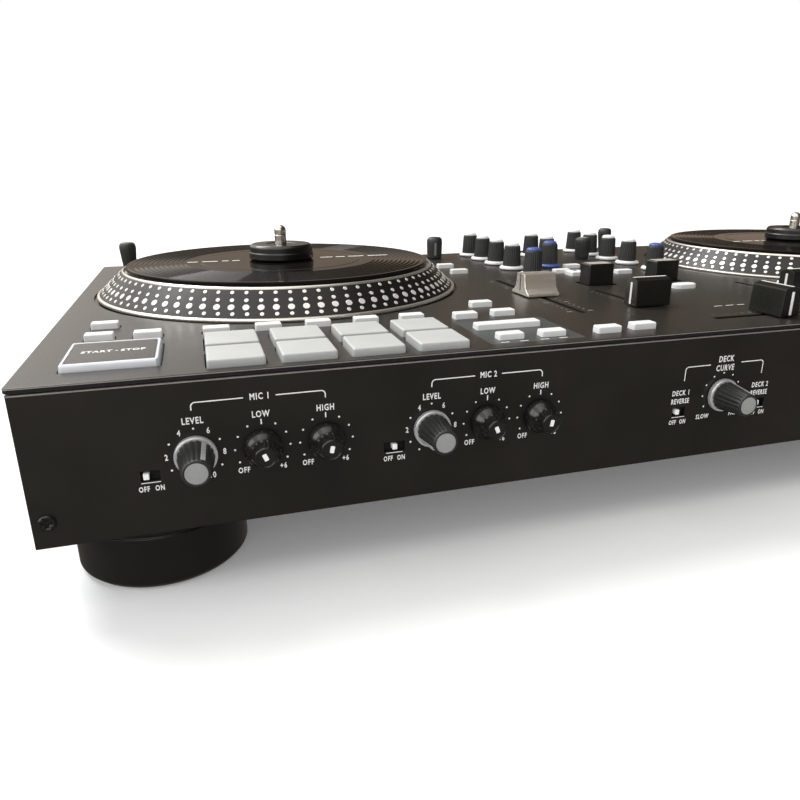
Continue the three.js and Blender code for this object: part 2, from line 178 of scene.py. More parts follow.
PUCK = surface("puck_plastic", (0.005, 0.005, 0.005), 0.3, 0, 0.2, 10, turned_pitch=0.4, bump=0.003)
STEEL = surface("spindle_steel", (0.7, 0.66, 0.6), 0.2, 1, 0.06, 8, 0.6, 0.003)
BEZEL = surface("button_bezel", (0.74, 0.77, 0.82), 0.34, 0.4, 0.04, 12, 3, 0.001)
GLASS_BLACK = surface("button_top", (0.018, 0.015, 0.013), 0.2, 0.0, 0.15, 20, 0.6, 0.001, IOR=1.34)
SILICONE = surface("pad_silicone", (0.49, 0.5, 0.48), 0.42, 0, 0.04, 18, 0.5, 0.006,
                   Subsurface_Weight=0.15, Subsurface_Scale=0.002)
KEY = surface("key_plastic", (0.85, 0.85, 0.83), 0.36, 0, 0.04, 10, 0.4, 0.004)
WHITE = surface("white_print", (0.8, 0.79, 0.76), 0.5, 0, 0.05, 6, 0.3, 0.002)
SILVER = surface("satin_silver", (0.94, 0.9, 0.84), 0.2, 0.8, 0.03, 14, 0.2, 0.002, stretch=(1, 8, 1))
CAP = surface("cap_plastic", (0.008, 0.0085, 0.0065), 0.3, 0, 0.2, 8, 0.35, 0.006)
# Painted highlight: the light top of the effect paddles.
CAP_TOP_HIGHLIGHT = surface("painted_cap_top_highlight", (0.42, 0.39, 0.35), 0.4, 0, 0.1, 5, 0.35, 0.004)
KNOB = surface("knob_rubber", (0.02, 0.021, 0.0195), 0.46, 0, 0.2, 6, 0.3, 0.01)
GLOSS_KNOB = surface("gloss_knob", (0.012, 0.0115, 0.011), 0.22, 0, 0.2, 6, 0.3, 0.004)
# Painted highlight: light bands along the edges of the plate and the tray.
EDGE_HIGHLIGHT = surface("painted_edge_highlight", (0.3, 0.285, 0.265), 0.4, 0.4, 0.1, 12, 0.4, 0.004)
DIM_INK = surface("dim_print", (0.2, 0.18, 0.155), 0.5, 0, 0.1, 6, 0.3, 0.002)
KNOB_END = surface("knob_end", (0.29, 0.295, 0.275), 0.4, 0.1, 0.06, 6, turned_pitch=0.3, bump=0.003)
COLLAR = surface("knob_collar", (0.55, 0.55, 0.54), 0.3, 0.4, 0.08, 6, turned_pitch=0.3, bump=0.003)
BLUE = surface("blue_insert", (0.06, 0.1, 0.3), 0.4, 0, 0.08, 6, 0.3, 0.004)
RED = surface("red_insert", (0.45, 0.02, 0.02), 0.4, 0, 0.08, 6, 0.3, 0.006)


# ---- flat outlines, anticlockwise ----
def circle(radius, sides=48, x=0.0, y=0.0):
    turn = 2 * math.pi / sides
    return [Vector((x + radius * math.cos(i * turn), y + radius * math.sin(i * turn))) for i in range(sides)]


def rounded(width, depth, radius, x=0.0, y=0.0, steps=5):
    outline = []
    for quarter, (side_x, side_y) in enumerate(((1, 1), (-1, 1), (-1, -1), (1, -1))):
        centre = Vector((x + side_x * (width / 2 - radius), y + side_y * (depth / 2 - radius)))
        for step in range(steps + 1):
            angle = (quarter + step / steps) * math.pi / 2
            outline.append(centre + radius * Vector((math.cos(angle), math.sin(angle))))
    return outline


def hole(outline):
    return list(reversed(outline))


def fillet(points, radius, steps=3, closed=False):
    """The same polyline with its corners rounded."""
    points = [Vector(point) for point in points]
    count = len(points)
    made = []
    for i, here in enumerate(points):
        if not closed and i in (0, count - 1):
            made.append(here)
            continue
        before, after = points[i - 1], points[(i + 1) % count]
        reach = min(radius, (before - here).length / 2.2, (after - here).length / 2.2)
        start = here + (before - here).normalized() * reach
        end = here + (after - here).normalized() * reach
        for step in range(steps + 1):
            t = step / steps
            made.append(start * (1 - t) ** 2 + here * 2 * t * (1 - t) + end * t ** 2)
    return made


def inset(outline, by):
    """The same outline, drawn in by a distance."""
    made = []
    for before, here, after in zip(outline[-1:] + outline[:-1], outline, outline[1:] + outline[:1]):
        into, out = (here - before).normalized(), (after - here).normalized()
        inward = Vector((-into.y - out.y, into.x + out.x)).normalized()
        made.append(here + inward * by / max(0.4, inward.dot(Vector((-into.y, into.x)))))
    return made


# ---- solids, added to a bmesh ----
def moved(*at):
    return Matrix.Translation(at)


def spun(angle, axis):
    return Matrix.Rotation(angle, 4, axis)


UPRIGHT = Matrix.Identity(4)
FORWARD = spun(math.pi / 2, "X")
REARWARD = spun(math.pi, "Z") @ FORWARD


def walls(bm, rings, index):
    """Faces between each ring of vertices and the next."""
    for lower, upper in zip(rings, rings[1:]):
        for i in range(len(lower)):
            j = (i + 1) % len(lower)
            bm.faces.new((lower[i], lower[j], upper[j], upper[i])).material_index = index


def slab(bm, outlines, levels, index=0, place=UPRIGHT):
    """A closed solid over an outline, with any holes after it. levels are (height, inset), lowest first."""
    stacks = [[[bm.verts.new(place @ Vector((*point, height))) for point in inset(outline, by)]
               for height, by in levels] for outline in outlines]
    for rings in stacks:
        walls(bm, rings, index)
    for level in (0, -1):
        rim = [vertex for rings in stacks for vertex in rings[level]]
        if len(outlines) == 1:
            bm.faces.new(rim if level else rim[::-1]).material_index = index
            continue
        flat = [[Vector((*point, 0)) for point in inset(outline, levels[level][1])] for outline in outlines]
        for triangle in tessellate_polygon(flat):
            bm.faces.new([rim[i] for i in triangle]).material_index = index


def block(bm, size, radius, levels, x=0.0, y=0.0, index=0):
    """A slab over a rounded rectangle, whose corners stay rounded however far a level is inset."""
    rings = []
    for height, by in levels:
        width, depth = size[0] - 2 * by, size[1] - 2 * by
        corner = max(0.15, min(radius - by, width / 2 - 0.01, depth / 2 - 0.01))
        rings.append([bm.verts.new((*point, height)) for point in rounded(width, depth, corner, x, y)])
    bm.faces.new(rings[0][::-1]).material_index = index
    bm.faces.new(rings[-1]).material_index = index
    walls(bm, rings, index)


def edged(start, height, edge, draft, steps=4):
    """Levels of a block from start to height, with a rounded top edge."""
    levels = [(start, 0)]
    for step in range(steps + 1):
        angle = step / steps * math.pi / 2
        levels.append((height - edge * (1 - math.sin(angle)), draft + edge * (1 - math.cos(angle))))
    return levels


def turned(bm, profile, sides=64, index=0, place=UPRIGHT, flutes=None):
    """A solid turned about its own Z axis. The profile is (radius, height) from the axis to the axis, or
    closes on itself. flutes gives a radius from an angle and the plain radius."""
    rings = []
    for radius, height in profile:
        if radius < 1e-6:
            rings.append([bm.verts.new(place @ Vector((0, 0, height)))])
            continue
        ring = []
        for i in range(sides):
            angle = 2 * math.pi * i / sides
            reach = flutes(angle, radius) if flutes else radius
            point = Vector((reach * math.cos(angle), reach * math.sin(angle), height))
            ring.append(bm.verts.new(place @ point))
        rings.append(ring)
    closes = len(rings[0]) > 1
    for lower, upper in zip(rings, rings[1:] + (rings[:1] if closes else [])):
        for i in range(sides):
            j = (i + 1) % sides
            quad = (lower[i % len(lower)], lower[j % len(lower)], upper[j % len(upper)],
                    upper[i % len(upper)])
            bm.faces.new(list(dict.fromkeys(quad))).material_index = index


def fluted(count, depth, low, high=math.inf):
    """Flutes in those parts of a turned solid whose radius is between low and high."""
    def reach(angle, radius):
        cut = depth * (0.5 - 0.5 * math.cos(count * angle)) ** 2
        return radius - cut if low < radius < high else radius
    return reach


INK, SQUEEZE = 0.05, 0.73


def mark(bm, outline, place=UPRIGHT, index=0):
    slab(bm, [outline], [(0, 0), (INK, 0)], index, place)


def dash(bm, x, y, width, depth, place=UPRIGHT, index=0):
    mark(bm, rounded(width, depth, min(width, depth) * 0.2, x, y, 2), place, index)


def line(bm, points, width, place=UPRIGHT, index=0):
    points = [Vector(point) for point in points]
    ahead = [(b - a).normalized() for a, b in zip(points, points[1:])]
    sides = []
    for i, point in enumerate(points):
        along = (ahead[max(0, i - 1)] + ahead[min(i, len(ahead) - 1)]).normalized()
        sides.append((point, Vector((-along.y, along.x)) * width / 2))
    outline = [point - side for point, side in sides] + [point + side for point, side in reversed(sides)]
    mark(bm, outline, place, index)


def words(bm, text, x, y, height, place=UPRIGHT, squeeze=SQUEEZE, index=0, weight=0.03):
    """Plain bold lettering, centred on x, y. weight is how far its strokes thicken, per unit of height."""
    curve = bpy.data.curves.new("words", "FONT")
    curve.body = text
    curve.size = height * 1.4
    curve.offset = height * weight
    curve.space_character = 1.18
    curve.extrude = INK / 2
    curve.resolution_u = 2
    curve.align_x, curve.align_y = "CENTER", "CENTER"
    holder = bpy.data.objects.new("words", curve)
    link(holder)
    bpy.context.view_layer.update()
    mesh = bpy.data.meshes.new_from_object(holder.evaluated_get(bpy.context.evaluated_depsgraph_get()))
    mesh.transform(place @ moved(x, y, INK / 2) @ Matrix.Diagonal((squeeze, 1, 1, 1)))
    for polygon in mesh.polygons:
        polygon.material_index = index
    bm.from_mesh(mesh)
    bpy.data.objects.remove(holder)
    bpy.data.curves.remove(curve)
    bpy.data.meshes.remove(mesh)


# ---- pieces ----
def even_shading(thing):
    """Large faces stay flat and narrow ones between them carry the curve."""
    normals = thing.modifiers.new("normals", "WEIGHTED_NORMAL")
    normals.keep_sharp = True
    normals.weight = 50


CREASE = math.radians(38)


def piece(name, bm, body, materials, at=(0, 0, 0), stands_for=()):
    """Makes one object of a bmesh built about the point at, and rides it on its body."""
    bmesh.ops.recalc_face_normals(bm, faces=bm.faces)
    for edge in bm.edges:
        edge.smooth = len(edge.link_faces) == 2 and edge.calc_face_angle(0) < CREASE
    for face in bm.faces:
        face.smooth = True
    bmesh.ops.scale(bm, vec=(MM, MM, MM), verts=bm.verts)
    mesh = bpy.data.meshes.new(name)
    bm.to_mesh(mesh)
    bm.free()
    for material in materials if isinstance(materials, list) else [materials]:
        mesh.materials.append(material)
    thing = bpy.data.objects.new(name, mesh)
    link(thing)
    thing.location = Vector(at) * MM
    even_shading(thing)
    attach(thing, body)
    if stands_for:
        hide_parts(*stands_for)


def carry(node, material, edge=0.4):
    """Gives a CAD node its finish and rounded edges."""
    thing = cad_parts[node]
    thing.data.materials.clear()
    thing.data.materials.append(material)
    for polygon in thing.data.polygons:
        polygon.use_smooth = True
    weld = thing.modifiers.new("weld", "WELD")
    weld.merge_threshold = 0.01 * MM
    flats = thing.modifiers.new("flats", "DECIMATE")
    flats.decimate_type = "DISSOLVE"
    flats.angle_limit = math.radians(0.5)
    bevel = thing.modifiers.new("edge", "BEVEL")
    bevel.width = edge * MM
    bevel.segments = 3
    bevel.limit_method = "ANGLE"
    bevel.angle_limit = math.radians(35)
    even_shading(thing)


# ---- places on the deck face ----
POCKET_RADIUS, POCKET_DEPTH, SPINDLE_HOLE = 109, 1.2, 14
START_AT, START_SIZE = (32.75, 32.4), (35.5, 35.5)
PAD_SIZE, PAD_FIRST, PAD_PITCH = (22.3, 22.6), (78.1, 16.2), (27.9, 25.3)
KEY_SIZE = (12.4, 6.4)
MODE_KEYS = [(23.6, 66.2), (43.6, 65.4), (72.8, 64.8), (96, 64.8), (119.2, 64.8), (142.4, 64.8),
             (165.5, 64.8), (23.6, 89.6)]
LOOP_KEYS = [(210.9, 85.5), (192, 60.4), (212.9, 61.6), (194.9, 14.6), (215.2, 14.2)]
WIDE_KEY_AT, WIDE_KEY_SIZE = (203, 35), (32.5, 7)
EXTRA_KEYS = [(242.7, 228), (242.8, 199.8), (243.2, 13.4), (262.6, 14.8)]
MIXER_KEYS = [(312.6, 180), (332.2, 199.8), (353.5, 165.5)]
SQUARE_KEY_AT, SQUARE_KEY_SIZE = (317.4, 168.4), (11.5, 11.5)
OVAL_KEY_AT, OVAL_KEY_SIZE = (354.5, 102), (16, 8.6)
CLEARANCE = 0.4
SLOT_WIDTH, SLOT_EXTRA = 3.6, 9
STRIP_WIDTH, STRIP_OFFSET = 3.4, 2.2
PITCH_AT, PITCH_TRAVEL = (255, 107), 100
LINE_AT, LINE_TRAVEL = ((297.5, 82.5), (401, 82.5)), 45
CROSS_AT, CROSS_TRAVEL = (336.5, 21.5), 45
PADDLE_SIZE, PADDLE_HOLE = (18.8, 12), (21, 18)
KNOB_HOLE = 4
PADS = [(PAD_FIRST[0] + column * PAD_PITCH[0], PAD_FIRST[1] + row * PAD_PITCH[1])
        for row in range(2) for column in range(4)]
DECK_KNOBS = [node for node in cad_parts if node.endswith("_knob") and rise_of(node) > 10]


# ---- casing ----
def slot_hole(at, travel, along_x, shift=0.0):
    length = travel + SLOT_EXTRA
    size = (length, SLOT_WIDTH) if along_x else (SLOT_WIDTH, length)
    return hole(rounded(*size, 1.2, *deck(*at, shift)))


def key_hole(at, size, shift=0.0, radius=1.2):
    return hole(rounded(size[0] + 2 * CLEARANCE, size[1] + 2 * CLEARANCE, radius, *deck(*at, shift)))


def rim_band(outer, inner):
    """A band round the plate, from outer to inner, which are (how far inside the plate's edge, radius)."""
    centre = LEFT + WIDTH / 2, FRONT + DEPTH / 2
    edge, core = (rounded(WIDTH - 2 * inside, DEPTH - 2 * inside, radius, *centre)
                  for inside, radius in (outer, inner))
    return [edge, hole(core)]


def top_plate():
    outlines = [rounded(WIDTH, DEPTH, 1.5, LEFT + WIDTH / 2, FRONT + DEPTH / 2)]
    bm = bmesh.new()
    for side, shift in DECKS:
        x, y = middle("platter_" + side)
        outlines.append(hole(circle(POCKET_RADIUS, 180, x, y)))
        under, reach = TOP - PLATE, POCKET_RADIUS + 0.3
        floor = [(SPINDLE_HOLE, under), (reach, under), (reach, TOP - POCKET_DEPTH),
                 (SPINDLE_HOLE, TOP - POCKET_DEPTH)]
        turned(bm, floor, 120, place=moved(x, y, 0))
        outlines.append(key_hole(START_AT, START_SIZE, shift))
        outlines += [key_hole(at, PAD_SIZE, shift, 2.2) for at in PADS]
        outlines += [key_hole(at, KEY_SIZE, shift) for at in MODE_KEYS + LOOP_KEYS + EXTRA_KEYS]
        outlines.append(key_hole(WIDE_KEY_AT, WIDE_KEY_SIZE, shift))
        outlines.append(slot_hole(PITCH_AT, PITCH_TRAVEL, False, shift))
    outlines += [key_hole(at, KEY_SIZE) for at in MIXER_KEYS]
    outlines.append(key_hole(SQUARE_KEY_AT, SQUARE_KEY_SIZE))
    outlines.append(key_hole(OVAL_KEY_AT, OVAL_KEY_SIZE, 0, 4.6))
    outlines += [slot_hole(at, LINE_TRAVEL, False) for at in LINE_AT]
    outlines.append(slot_hole(CROSS_AT, CROSS_TRAVEL, True))
    for name in ("effect_paddle_1", "effect_paddle_2"):
        outlines.append(hole(rounded(*PADDLE_HOLE, 2, *middle(name))))
    outlines += [hole(circle(KNOB_HOLE, 24, *middle(node))) for node in DECK_KNOBS]
    levels = [(TOP - PLATE, 0.2), (TOP - PLATE + 0.2, 0), (TOP - 0.2, 0), (TOP - 0.06, 0.06), (TOP, 0.2)]
    slab(bm, outlines, levels)
    # Painted shade on the plate's side below its edge, under a painted highlight along the edge.
    rim = rim_band((-0.03, 1.5), (0.8, 1))
    slab(bm, rim, [(TOP - 1.75, 0), (TOP - 0.62, 0)], 1)
    slab(bm, rim, [(TOP - 0.62, 0), (TOP - 0.24, 0)], 2)
    # Painted highlight along the tray's top edge, below the gap.
    lip = rim_band((0.47, 0.6), (2, 0.4))
    slab(bm, lip, [(TRAY_TOP - 0.7, 0), (TRAY_TOP - 0.2, 0), (TRAY_TOP + 0.02, 0.2)], 2)
    piece("deck_face", bm, "casing", [FACE_PAINT, DARK_AND_SHADE, EDGE_HIGHLIGHT], stands_for=("top_plate",))


def slot_linings():
    """Dark dust strips under the fader slots."""
    bm = bmesh.new()
    under = TOP - PLATE - 0.9
    for at, travel, along_x, shift in (
        *((PITCH_AT, PITCH_TRAVEL, False, shift) for _, shift in DECKS),
        *((at, LINE_TRAVEL, False, 0) for at in LINE_AT),
        (CROSS_AT, CROSS_TRAVEL, True, 0),
    ):
        x, y = deck(*at, shift)
        for side in (-STRIP_OFFSET, STRIP_OFFSET):
            length = travel + SLOT_EXTRA + 4
            lip = (length, STRIP_WIDTH) if along_x else (STRIP_WIDTH, length)
            spot = (x, y + side) if along_x else (x + side, y)
            slab(bm, [rounded(*lip, 0.4, *spot, 2)], [(under, 0), (under + 0.6, 0)])
    piece("fader_dust_strips", bm, "casing", DARK_AND_SHADE)


def feet():
    for node in ("foot_front_left", "foot_front_right", "foot_rear_left", "foot_rear_right"):
        low, high = corners(node)
        radius, height = (high.x - low.x) / 2, high.z - low.z
        profile = fillet([(0, 0.6), (radius - 9, 0.6), (radius - 9, 0), (radius - 2.4, 0), (radius, 2.6),
                          (radius, height - 5.4), (radius - 0.5, height - 5), (radius - 0.5, height - 4.4),
                          (radius, height - 4), (radius, height), (0, height)], 0.9)
        bm = bmesh.new()
        turned(bm, profile, 128)
        piece(node + "_moulding", bm, "casing", RUBBER, (*middle(node), low.z), (node,))


# ---- platters ----
SIDES = 192
STROBE_ROWS = ((103.9, 2.15, 91), (101, 3.45, 87), (97.9, 2.2, 86), (94.5, 2.05, 84))
ROWS_MEET = {"left": math.radians(-94.7), "right": math.radians(-135)}
CONE_LOW, CONE_HIGH = Vector((106, 1.6)), Vector((93.1, 13.7))
GROOVE_FIRST, GROOVE_PITCH, GROOVES = 86.5, 2.8, 11
GROOVE_DEPTH = 0.45
LABEL_DASHES = ((-56, 6), (-47.5, 9), (-36, 4), (-30, 4.5), (24, 8), (34, 6), (42, 10), (55, 13))


def platter(side):
    at = (*middle("platter_" + side), TOP)
    body = "platter_" + side
    bm = bmesh.new()
    profile = [(15, -0.4), (104, -0.4), (107, -0.3), (107.5, 0.6), (107.3, 1.5), (106, 2), (105.2, 1.6),
               (93, 13), (93, 13.8), (92.8, 14.3), (92.2, 14.8), (91.7, 14.8), (91.3, 14), (91.2, 13.2),
               (15, 13.2)]
    turned(bm, fillet(profile, 0.35, 2, closed=True), SIDES)
    piece(f"platter_{side}_ring", bm, body, RING, at, (body,))

    slope = CONE_HIGH - CONE_LOW
    out = Vector((slope.y, -slope.x)).normalized()
    bm = bmesh.new()
    start, stop = CONE_LOW + slope * 0.02, CONE_HIGH - slope * 0.01
    profile = [start - out, start + out * 0.15, stop + out * 0.15, stop - out]
    turned(bm, fillet(profile, 0.2, 2, closed=True), SIDES)
    piece(f"platter_{side}_strobe_band", bm, body, BAND, at)

    bm = bmesh.new()
    lean = math.atan2(slope.y, -slope.x)
    for radius, size, count in STROBE_ROWS:
        height = CONE_LOW.y + (CONE_LOW.x - radius) * slope.y / -slope.x
        for i in range(count):
            turn = ROWS_MEET[side] + 2 * math.pi * i / count
            place = spun(turn, "Z") @ moved(radius, 0, height) @ spun(lean, "Y")
            slab(bm, [circle(size / 2, 16)], [(-0.1, 0), (0.24, 0), (0.34, 0.12)], place=place)
    piece(f"platter_{side}_strobe_dots", bm, body, DOT, at)


def disc(side):
    at = (*middle("platter_" + side), TOP)
    low, high = corners("disc_" + side)
    radius, base, top = (high.x - low.x) / 2, low.z - TOP, high.z - TOP
    profile = [(4, base), (radius - 0.5, base), (radius, base + 0.6), (radius, top - 0.7),
               (radius - 0.4, top - 0.1), (radius - 1, top)]
    for i in range(GROOVES):
        reach = GROOVE_FIRST - i * GROOVE_PITCH
        profile += [(reach + 1, top), (reach + 0.3, top - GROOVE_DEPTH), (reach - 0.3, top - GROOVE_DEPTH),
                    (reach - 1, top)]
    profile += [(50, top), (49.4, top - 0.15), (48.8, top - 0.15), (48.2, top), (4, top)]
    bm = bmesh.new()
    turned(bm, fillet(profile, 0.2, 2, closed=True), SIDES)
    piece(f"disc_{side}_grooved", bm, "platter_" + side, VINYL, at, ("disc_" + side,))

    bm = bmesh.new()
    for start, length in LABEL_DASHES:
        dash(bm, start + length / 2, 0, length, 2.1, moved(0, 0, top))
    piece(f"disc_{side}_marks", bm, "platter_" + side, WHITE, at)


def puck_and_spindle(side):
    at = (*middle("platter_" + side), TOP)
    profile = [(4, 17.1), (18.2, 17.1), (19.5, 17.8), (19.5, 21.4), (19, 21.8), (19, 24.9), (17.6, 26.3),
               (9, 26.3), (8, 25.7), (4, 25.7)]
    bm = bmesh.new()
    turned(bm, fillet(profile, 0.5, 3, closed=True), 96)
    piece(f"puck_{side}_turned", bm, "platter_" + side, PUCK, at, ("puck_" + side,))

    top = rise_of("spindle_" + side)
    profile = [(0, -56), (3.5, -56), (3.5, 31.2), (3.2, 31.35), (3.2, 31.65), (3.5, 31.8), (3.5, top - 2.6),
               (2.8, top - 1.1), (1.3, top - 0.2), (0, top)]
    bm = bmesh.new()
    turned(bm, fillet(profile, 0.4, 3), 40)
    piece(f"spindle_{side}_turned", bm, "platter_" + side, STEEL, at, ("spindle_" + side,))


# ---- buttons, pads and keys ----
KEY_BASE = -3.6
KEY_EDGE, KEY_RADIUS, MIXER_KEY_RISE = 0.7, 1, 2.6
START_WORDS = (("START", -6.2), ("STOP", 7.2))


def start_button(side):
    node = "start_stop_button_" + side
    height = rise_of(node)
    bm = bmesh.new()
    levels = [(-3.8, 0), (0, 0.1), (height - 0.8, 0.4), (height - 0.25, 0.6), (height, 0.9), (height, 1.6),
              (height - 0.5, 1.9)]
    block(bm, START_SIZE, 1.6, levels)
    top = [size - 4 for size in START_SIZE]
    block(bm, top, 0.8, [(height - 0.6, 0), (height - 0.25, 0), (height - 0.1, 0.25)], index=1)
    place = moved(0, 0, height - 0.1)
    for text, across in START_WORDS:
        words(bm, text, across, 0, 2.9, place, 0.84, 2, 0.06)
    dash(bm, 1.1, 0, 1.1, 0.7, place, 2)
    piece(node + "_capped", bm, "start_stop_" + side, [BEZEL, GLASS_BLACK, WHITE],
          (*middle(node), TOP), (node,))


def key_block(bm, size, x, y, rise, edge=KEY_EDGE, radius=KEY_RADIUS):
    crown = rise + 0.12
    levels = edged(KEY_BASE, rise, edge, 0.3) + [(crown, 0.3 + edge + min(size) * 0.22)]
    block(bm, size, radius, levels, x, y)


def small_keys(spots, rise):
    bm = bmesh.new()
    for spot in spots:
        key_block(bm, KEY_SIZE, *spot, rise)
    return bm


def pads_and_keys(side, shift):
    at = (*deck(0, 0, shift), TOP)
    pads, mode, loop = "pads_" + side, "mode_keys_" + side, "loop_keys_" + side
    mat = "pad_mat_" + side
    bm = bmesh.new()
    for spot in PADS:
        key_block(bm, PAD_SIZE, *spot, rise_of(mat), 0.8, 1.4)
    piece(pads, bm, pads, SILICONE, at, (mat,))

    rise = rise_of(mode)
    piece(mode + "_caps", small_keys(MODE_KEYS, rise), mode, KEY, at, (mode,))
    bm = small_keys(LOOP_KEYS, rise)
    key_block(bm, WIDE_KEY_SIZE, *WIDE_KEY_AT, rise)
    piece(loop + "_caps", bm, loop, KEY, at, (loop,))
    piece("deck_keys_" + side, small_keys(EXTRA_KEYS, rise), "casing", KEY, at)


def mixer_keys():
    bm = small_keys(MIXER_KEYS, MIXER_KEY_RISE)
    key_block(bm, SQUARE_KEY_SIZE, *SQUARE_KEY_AT, MIXER_KEY_RISE)
    slab(bm, [circle(1.4, 20, SQUARE_KEY_AT[0], SQUARE_KEY_AT[1] + 1)], [(2.4, 0), (2.8, 0)], 1)
    key_block(bm, OVAL_KEY_SIZE, *OVAL_KEY_AT, MIXER_KEY_RISE, 0.8, 4.2)
    piece("mixer_keys", bm, "casing", [KEY, DARK_AND_SHADE], (*deck(0, 0), TOP))


# ---- fader caps and paddles ----
def standing(along_x):
    """Stands an outline of (reach, height) upright, its width along X, or along Y if it slides along X."""
    place = spun(math.pi / 2, "Z") @ spun(math.pi / 2, "X")
    return spun(math.pi / 2, "Z") @ place if along_x else place


def bend(start, handle, end, steps=8):
    start, handle, end = Vector(start), Vector(handle), Vector(end)
    return [start * (1 - t) ** 2 + handle * 2 * t * (1 - t) + end * t ** 2
            for t in (i / steps for i in range(steps + 1))]


def mirrored(half):
    half = [Vector(point) for point in half]
    return [*half, *(Vector((-point.x, point.y)) for point in reversed(half))]


def extruded_cap(bm, outline, width, edge, place):
    levels = [(-width / 2, edge), (-width / 2 + edge * 0.3, edge * 0.3), (-width / 2 + edge, 0),
              (width / 2 - edge, 0), (width / 2 - edge * 0.3, edge * 0.3), (width / 2, edge)]
    slab(bm, [outline], levels, 0, place)


def stem(bm, along_x):
    size = (7, 2.4) if along_x else (2.4, 7)
    slab(bm, [rounded(*size, 0.3, steps=2)], [(-8.4, 0), (2, 0)])


def pitch_cap(side):
    node = "pitch_fader_cap_" + side
    top = rise_of(node)
    half = [(10.4, 0.6), (10.5, 1.6), (10.1, 2.3), *bend((9.6, 2.5), (5.4, 3.6), (5.0, top - 1.2)),
            (4.6, top - 0.3), (3.8, top), (0.7, top), (0.35, top - 0.6)]
    bm = bmesh.new()
    extruded_cap(bm, mirrored(half), 20.4, 0.6, standing(False))
    stem(bm, False)
    # Painted shade: dark stripes on both sides of the cap stand for its grooves.
    for side_x in (-1, 1):
        place = moved(side_x * 10.22, 0, 0) @ spun(side_x * math.pi / 2, "Y")
        dash(bm, -side_x * (top / 2 + 1.4), 0, top - 3, 0.8, place, 1)
    piece(node + "_milled", bm, "pitch_fader_" + side, [SILVER, DARK_AND_SHADE],
          (*middle(node), TOP), (node,))


def black_cap(node, body, along_x):
    top = rise_of(node)
    half = [(5.3, 0.6), (5.6, 0.9), (5.55, 2), (4.95, top - 2.2), (4.7, top - 1.4), (4, top - 1),
            (1.6, top - 0.25), (1.1, top - 0.1)]
    bm = bmesh.new()
    extruded_cap(bm, mirrored(half), 21.4, 0.5, standing(along_x))
    stem(bm, along_x)
    stripe = (1.7, 20.4) if along_x else (20.4, 1.7)
    dash(bm, 0, 0, *stripe, moved(0, 0, top - 0.12), 1)
    spin = spun(math.pi / 2, "Z") if along_x else UPRIGHT
    for end in (-1, 1):
        place = spin @ moved(end * 10.7, 0, 0) @ spun(end * math.pi / 2, "Y")
        dash(bm, -end * (top / 2 - 0.6), 0, top - 4, 1.6, place, 1)
    piece(node + "_moulded", bm, body, [CAP, WHITE], (*middle(node), TOP), (node,))


def paddle(number):
    node = f"effect_paddle_{number}"
    top = rise_of(node)
    bm = bmesh.new()
    levels = [(-9, 0), (1, 0.1), (top - 1.2, 0.4), (top - 0.5, 0.55), (top - 0.1, 0.9), (top, 1.3)]
    block(bm, PADDLE_SIZE, 1.6, levels)
    # Painted highlight: a light patch over the paddle's top face.
    highlight_patch = [size - 3.2 for size in PADDLE_SIZE]
    block(bm, highlight_patch, 1, [(top - 0.1, 0), (top, 0), (top + 0.04, 0.1)], index=1)
    piece(node + "_moulded", bm, node, [CAP, CAP_TOP_HIGHLIGHT], (*middle(node), TOP), (node,))


# ---- knobs ----
FILTER_POINTER = 20


def pointer_knob(bm, height, colours, turn):
    """A fluted knob on a skirt. colours are the indexes of skirt, body, insert and pointer."""
    skirt, body, insert, pointer = colours
    turned(bm, fillet([(0, 0.5), (8.7, 0.5), (8.8, 1.7), (8, 2.6), (6.8, 2.9), (0, 2.9)], 0.4), 72, skirt)
    sides = [(0, 2.7), (6.6, 2.7), (6.5, 3.6), (5.7, height - 3), (5.3, height - 2.1), (0, height - 2)]
    turned(bm, fillet(sides, 0.5), 144, body, flutes=fluted(24, 0.32, 5.35))
    dome = [(0, height - 2.4), (4.9, height - 2.4), (4.85, height - 1.2), (4.2, height - 0.3), (2.6, height),
            (0, height)]
    turned(bm, fillet(dome, 0.4), 48, insert)
    spin = spun(turn, "Z")
    lean = math.atan2(0.9, height - 6)
    side = spin @ moved(0, 6.05, height / 2 + 0.5) @ spun(-math.pi / 2 + lean, "X")
    slab(bm, [rounded(1, height - 7, 0.3, steps=2)], [(-0.4, 0), (0.12, 0)], pointer, side)


def deck_knobs():
    for node in DECK_KNOBS:
        bm = bmesh.new()
        is_filter, is_effect = node.endswith("filter_knob"), node == "effect_knob"
        insert = 2 if is_filter or is_effect else 0
        skirt = 2 if is_effect else 0
        turn = math.radians(FILTER_POINTER if is_filter else 0)
        pointer_knob(bm, rise_of(node), (skirt, 1, insert, 0), turn)
        piece(node + "_moulded", bm, node.removesuffix("_knob"), [KEY, KNOB, BLUE],
              (*middle(node), TOP), (node,))


REAR_KNOBS = (((19.5, 293), 4.4, 5.8, 19), ((252, 279), 5.7, 6.2, 17.4))
BROWSE_AT = (366, 242)


